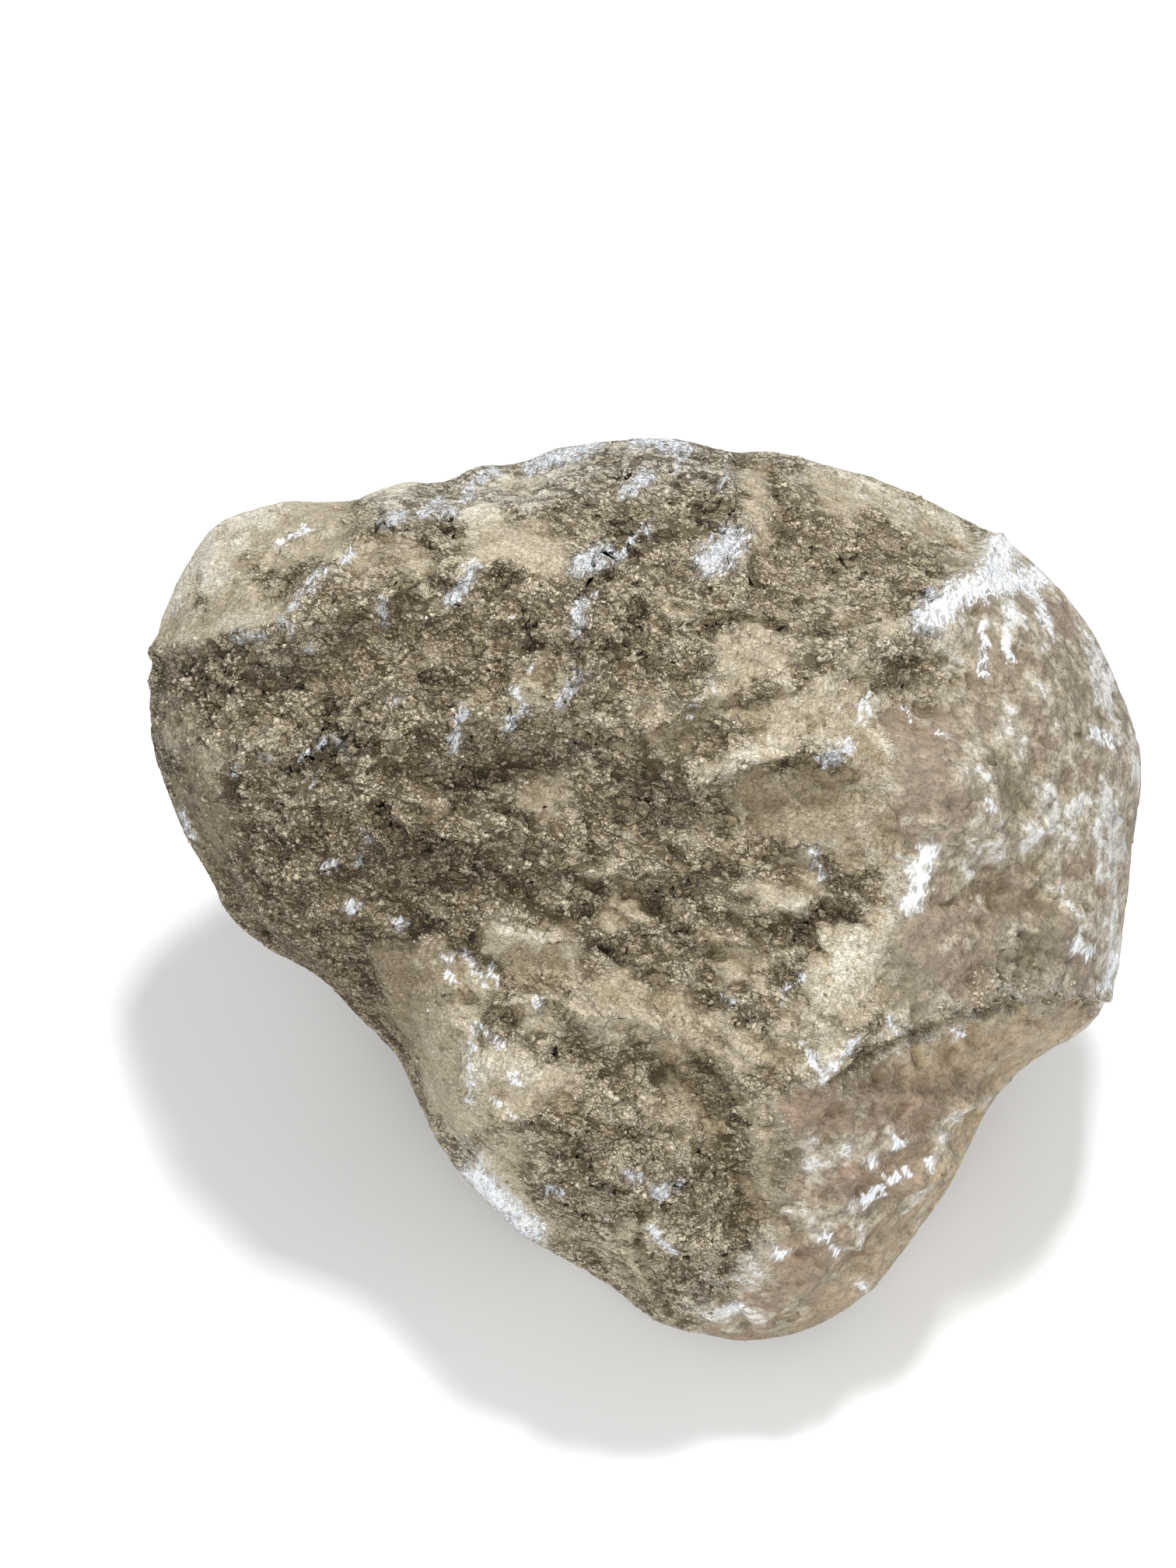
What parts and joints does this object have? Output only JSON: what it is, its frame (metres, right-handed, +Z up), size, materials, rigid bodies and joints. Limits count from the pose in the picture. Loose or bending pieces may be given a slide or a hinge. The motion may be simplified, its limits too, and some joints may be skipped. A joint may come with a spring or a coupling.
{
  "type": "honeycomb calcite boulder",
  "caption": "Rough broken boulder of banded calcite with an earthy weathered crust, standing on a small flat spot.",
  "frame": {"origin": "under the middle of the stone's box, on the plane that it stands on", "axes": "+X along the longest side, +Z up, the broad face looks up and towards -Y"},
  "size_m": [0.309, 0.251, 0.2216],
  "materials": {
    "calcite": "matt, coarse-grained brown earth crust over cream and pinkish calcite, with blue-white bruises on its edges"
  },
  "bodies": {
    "root": {"calcite_block": "calcite"}
  },
  "joints": []
}
